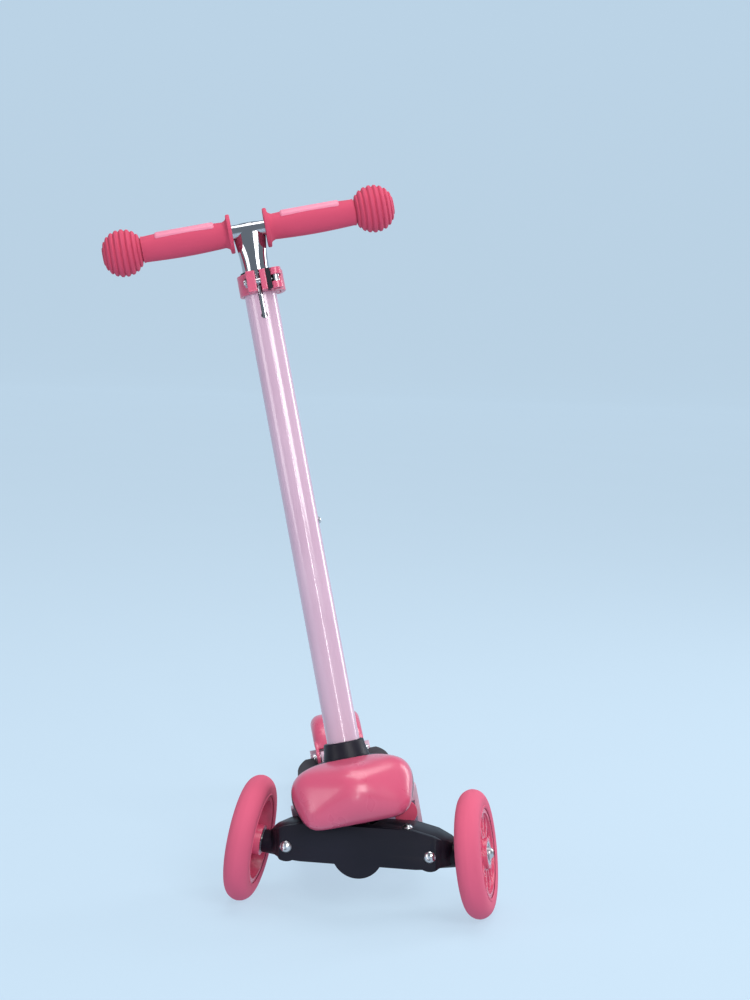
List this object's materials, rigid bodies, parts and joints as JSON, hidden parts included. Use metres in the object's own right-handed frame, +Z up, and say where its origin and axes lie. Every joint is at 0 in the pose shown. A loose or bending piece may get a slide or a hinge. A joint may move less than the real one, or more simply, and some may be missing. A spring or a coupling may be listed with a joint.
{
  "type": "kick scooter",
  "caption": "Small child's lean-to-steer kick scooter with a pair of front wheels, a rear wheel under a brake fender, a grip-mat deck and a height-adjustable T handlebar.",
  "frame": {"origin": "on the ground, under the middle of the standing scooter's box", "axes": "+Z up, the front wheels towards -Y, the rider's left towards +X"},
  "size_m": [0.4056, 0.5284, 0.6767],
  "materials": {
    "pink_plastic": "glossy pink moulded plastic",
    "grip_pink": "soft satin pink grip rubber",
    "wheel_pink": "slightly clear pink polyurethane",
    "hub_pink": "glossy pink hub plastic",
    "stop_pink": "soft pink polyurethane",
    "pale_pink": "glossy pale pink coat",
    "pale_plastic": "satin pale pink moulding",
    "black_plastic": "satin black moulding",
    "mat_rubber": "fine-grained black rubber",
    "steel": "zinc-plated steel",
    "dark_steel": "black coated steel",
    "spring_steel": "drawn spring steel",
    "bronze": "sintered bronze",
    "chrome": "mirror chrome plate"
  },
  "bodies": {
    "truck": {"beam_body": "black_plastic", "beam_face": "black_plastic", "beam_bolts": "steel", "beam_nuts": "steel", "top_screws": "steel", "pivot_bush": "bronze", "thrust_washers": "steel", "front_axles": "steel", "arm_nuts": "steel", "front_washers": "steel"},
    "left_wheel": {"left_tyre": "wheel_pink", "left_hub": "hub_pink", "left_bearings": "steel", "left_spacer": "steel"},
    "right_wheel": {"right_tyre": "wheel_pink", "right_hub": "hub_pink", "right_bearings": "steel", "right_spacer": "steel"},
    "lever": {"clamp_lever": "pink_plastic"},
    "steerer": {"handlebar": "chrome", "left_grip": "grip_pink", "right_grip": "grip_pink", "stem_foot": "black_plastic"},
    "rear_wheel": {"rear_tyre": "wheel_pink", "rear_hub": "hub_pink", "rear_bearings": "steel", "rear_spacer": "steel"},
    "fender": {"brake_fender": "pink_plastic", "brake_plate": "steel", "brake_rivets": "steel", "fender_spring": "spring_steel"},
    "chassis": {"deck": "pale_plastic", "deck_mat": "mat_rubber", "housing": "black_plastic", "nose_cover": "pink_plastic", "cover_screws": "steel", "housing_screws": "steel", "steering_bracket": "dark_steel", "bracket_bolts": "steel", "kingpin": "steel", "kingpin_nut": "steel", "bump_stops": "stop_pink", "column_tube": "pale_pink", "column_collar": "black_plastic", "column_bolt": "steel", "column_nut": "steel", "guide_screw": "steel", "top_bush": "black_plastic", "clamp_ring": "pink_plastic", "clamp_bolt": "steel", "clamp_nut": "steel", "cam_washer": "black_plastic", "lever_barrel": "steel", "rear_axle": "steel", "rear_axle_nut": "steel", "rear_washers": "steel", "fender_pin": "steel"}
  },
  "joints": [
    {"name": "lean_steer", "type": "hinge", "parent": "truck", "child": "chassis", "pos_m": [0.07702, -0.20188, 0.06253], "axis": [0, -0.6157, 0.788], "range_deg": [-37, 0]},
    {"name": "left_wheel_spin", "type": "hinge", "parent": "truck", "child": "left_wheel", "pos_m": [0.18502, -0.20188, 0.05953], "axis": [0.9903, 0, 0.1392], "continuous": true},
    {"name": "right_wheel_spin", "type": "hinge", "parent": "truck", "child": "right_wheel", "pos_m": [-0.03098, -0.20188, 0.05953], "axis": [0.9903, 0, -0.1392], "continuous": true},
    {"name": "rear_wheel_spin", "type": "hinge", "parent": "chassis", "child": "rear_wheel", "pos_m": [-0.02917, 0.2189, 0.03946], "axis": [0.9483, 0.25, 0.1954], "continuous": true},
    {"name": "handlebar_height", "type": "slide", "parent": "chassis", "child": "steerer", "axis": [-0.2323, 0.1278, 0.9642], "range_m": [0, 0.17]},
    {"name": "clamp_lever_swing", "type": "hinge", "parent": "chassis", "child": "lever", "pos_m": [-0.03219, -0.13071, 0.58605], "axis": [0.2323, -0.1278, -0.9642], "range_deg": [0, 150]},
    {"name": "brake_press", "type": "hinge", "parent": "chassis", "child": "fender", "pos_m": [-0.01954, 0.1708, 0.05428], "axis": [0.9483, 0.25, 0.1954], "range_deg": [-5.5, 0], "stiffness_Nm_per_rad": 0.5, "springref_deg": 17.19}
  ]
}
